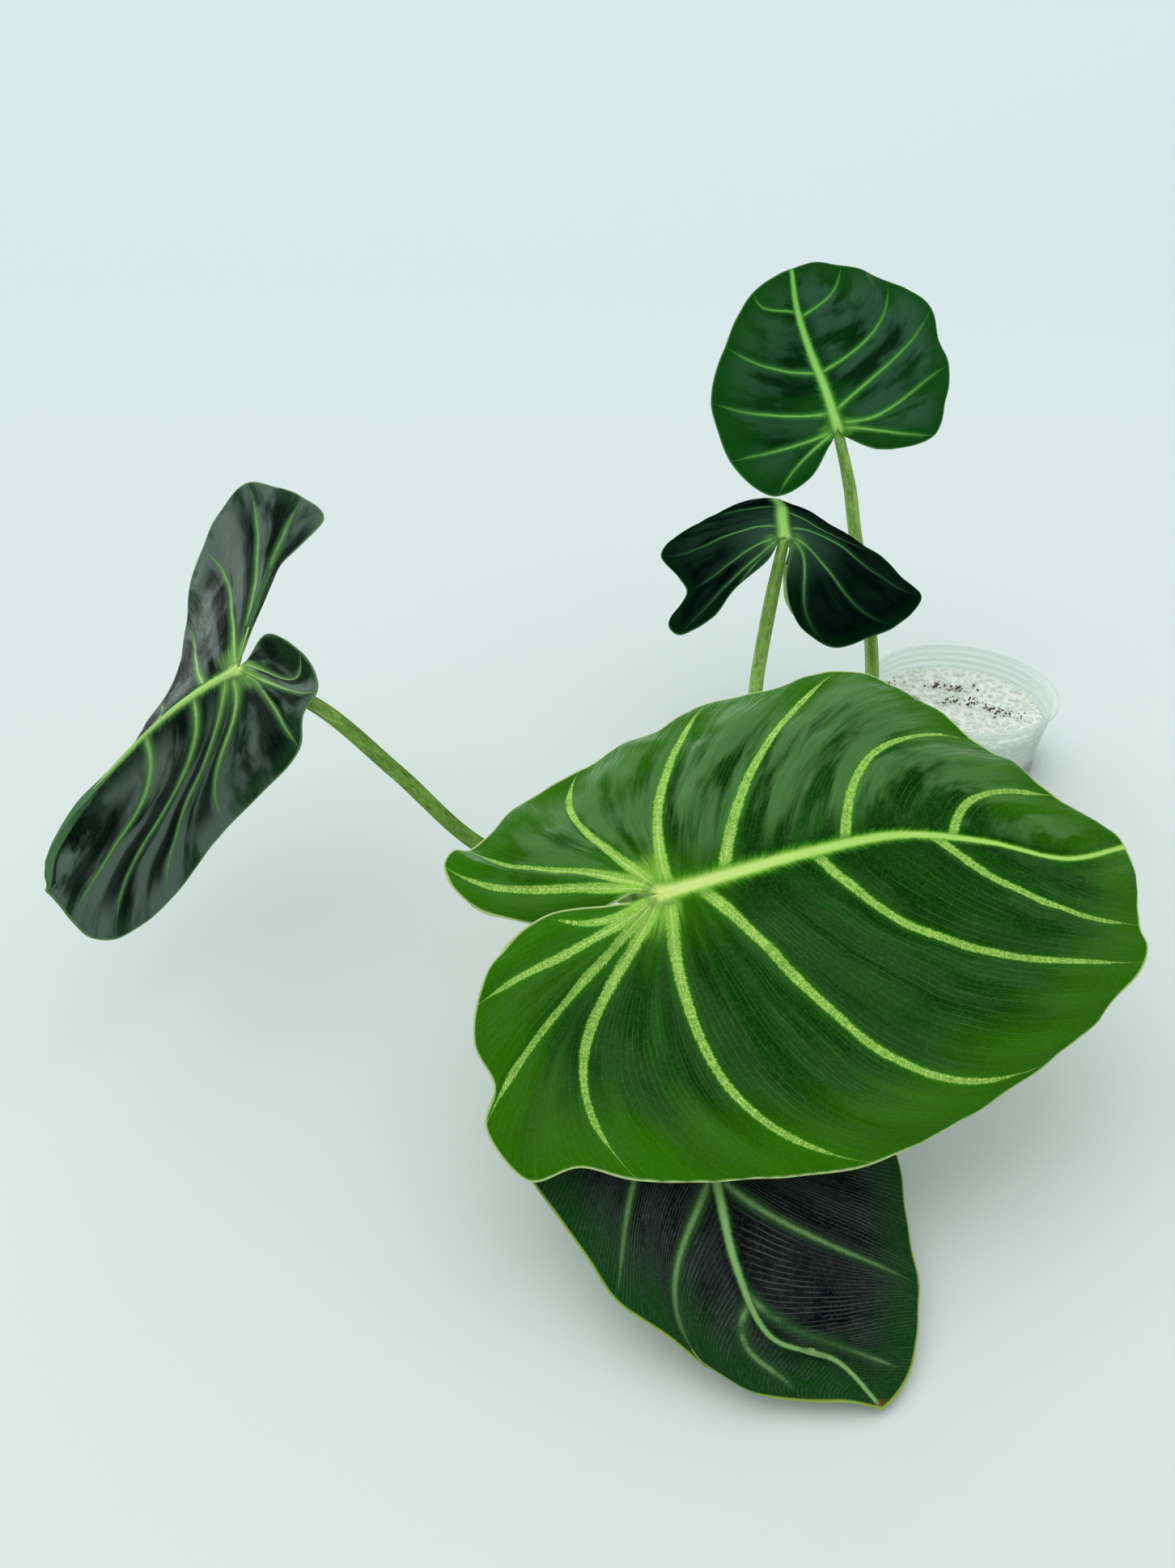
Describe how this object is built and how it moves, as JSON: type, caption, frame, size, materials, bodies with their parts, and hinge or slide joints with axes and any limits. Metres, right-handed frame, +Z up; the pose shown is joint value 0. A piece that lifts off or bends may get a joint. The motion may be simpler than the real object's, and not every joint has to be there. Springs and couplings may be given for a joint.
{
  "type": "potted philodendron luxurians",
  "caption": "Creeping aroid with large quilted heart-shaped leaves on long petioles, rooted in a clear ringed tub of perlite mix, with its stem lying on the surface.",
  "frame": {"origin": "centre of the underside of the saucer that the tub stands on, on the surface", "axes": "+Z up; the stem creeps from the tub towards -X and -Y, and the picture looks along +Y"},
  "size_m": [0.5189, 0.5809, 0.2701],
  "materials": {
    "clear_plastic": "gloss",
    "perlite": "matte",
    "stem": "satin",
    "petiole": "satin",
    "leaf_left": "satin",
    "leaf_centre": "satin",
    "leaf_back": "satin",
    "leaf_front": "satin",
    "leaf_low": "satin"
  },
  "bodies": {
    "root": {"saucer": "clear_plastic", "tub": "clear_plastic", "perlite_mix": "perlite", "stem": "stem", "petiole_left": "petiole", "leaf_left": "leaf_left", "petiole_centre": "petiole", "leaf_centre": "leaf_centre", "petiole_back": "petiole", "leaf_back": "leaf_back", "petiole_front": "petiole", "leaf_front": "leaf_front", "petiole_low": "petiole", "leaf_low": "leaf_low"}
  },
  "joints": []
}
